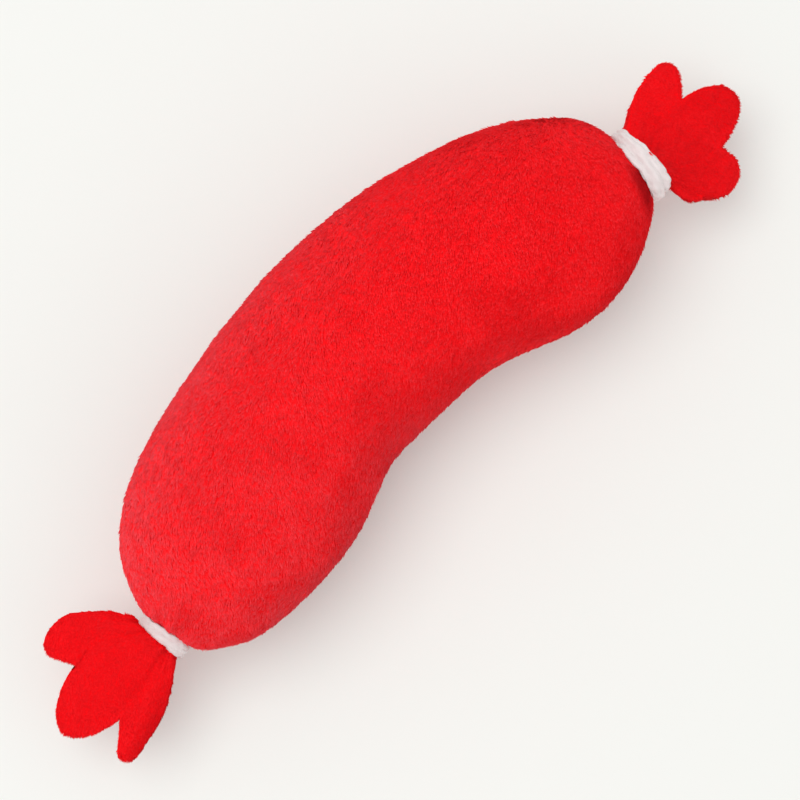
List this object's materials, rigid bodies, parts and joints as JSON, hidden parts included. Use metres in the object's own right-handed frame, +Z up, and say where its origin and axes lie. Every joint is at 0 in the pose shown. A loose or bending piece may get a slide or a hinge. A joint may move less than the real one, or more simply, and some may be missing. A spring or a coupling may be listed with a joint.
{
  "type": "squeaky dog toy",
  "caption": "Stuffed plush sausage with a gentle bend, a squeaker inside, a ribbon tie at each end and a three-lobed frill past each tie.",
  "frame": {"origin": "on the floor, at the middle of the flat that the toy lies on, under the middle of its length", "axes": "+X along the toy towards its wider-tied end, +Y to the outside of its bend, +Z up from the floor"},
  "size_m": [0.2258, 0.0643, 0.0505],
  "materials": {
    "plush": "short red plush with a soft sheen",
    "ribbon": "off-white satin ribbon, creased",
    "fibre": "loose white polyester fibre",
    "pouch_cloth": "thin undyed nonwoven cloth",
    "bulb_plastic": "soft milky polyethylene",
    "reed_plastic": "moulded polypropylene",
    "reed_film": "thin polyester film"
  },
  "bodies": {
    "lower_side": {"lower_casing": "plush", "stuffing_left": "fibre", "stuffing_right": "fibre", "stuffing_under": "fibre", "pouch_lower_cloth": "pouch_cloth", "squeaker_bulb": "bulb_plastic", "reed_tray": "reed_plastic", "reed_clamp": "reed_plastic", "left_tie": "ribbon", "right_tie": "ribbon"},
    "upper_side": {"upper_casing": "plush", "stuffing_over": "fibre", "pouch_upper_cloth": "pouch_cloth"},
    "reed": {"reed_blade": "reed_film"},
    "left_frill": {"left_frill_upper": "plush", "left_frill_lower": "plush"},
    "right_frill": {"right_frill_upper": "plush", "right_frill_lower": "plush"}
  },
  "joints": [
    {"name": "squeeze", "type": "slide", "parent": "lower_side", "child": "upper_side", "axis": [0, 0, -1], "range_m": [0, 0.012], "stiffness_N_per_m": 900, "deforming": ["upper_casing", "stuffing_over", "pouch_upper_cloth", "squeaker_bulb", "stuffing_left", "stuffing_right", "stuffing_under"]},
    {"name": "reed_flex", "type": "hinge", "parent": "lower_side", "child": "reed", "pos_m": [0.01875, 0, 0.02368], "axis": [0, 1, 0], "range_deg": [-3.5, 3.5], "stiffness_Nm_per_rad": 0.0001},
    {"name": "left_frill_bend", "type": "hinge", "parent": "lower_side", "child": "left_frill", "pos_m": [-0.08515, -0.01703, 0.02498], "axis": [-0.1564, 0.9877, 0], "range_deg": [-35, 35], "stiffness_Nm_per_rad": 0.004},
    {"name": "right_frill_bend", "type": "hinge", "parent": "lower_side", "child": "right_frill", "pos_m": [0.0852, -0.01874, 0.02498], "axis": [-0.0349, -0.9994, 0], "range_deg": [-35, 35], "stiffness_Nm_per_rad": 0.004}
  ]
}
